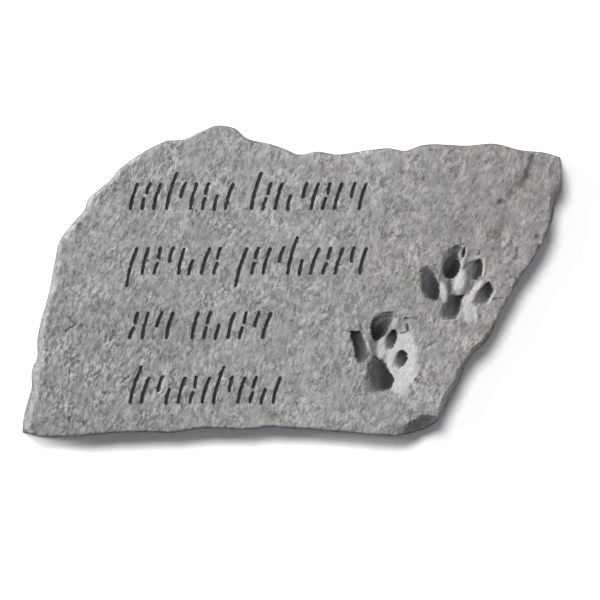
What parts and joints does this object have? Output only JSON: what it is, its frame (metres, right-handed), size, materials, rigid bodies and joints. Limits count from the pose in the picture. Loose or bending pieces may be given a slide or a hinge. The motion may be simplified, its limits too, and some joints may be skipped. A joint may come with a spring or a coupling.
{
  "type": "cat memorial stone",
  "caption": "Cast-stone garden memorial slab with a broken outline, pressed paw prints and rows of shallow strokes, lying on its flat underside.",
  "frame": {"origin": "middle of the stone's length and width, at its underside", "axes": "+Z out of the carved face, +X along the rows of strokes towards the paw prints, +Y up the face"},
  "size_m": [0.3999, 0.231, 0.0317],
  "materials": {
    "cast_stone": "matte, granular grey cast stone, with dark paint in the strokes and in the paw prints' pads"
  },
  "bodies": {
    "root": {"memorial_stone": "cast_stone"}
  },
  "joints": []
}
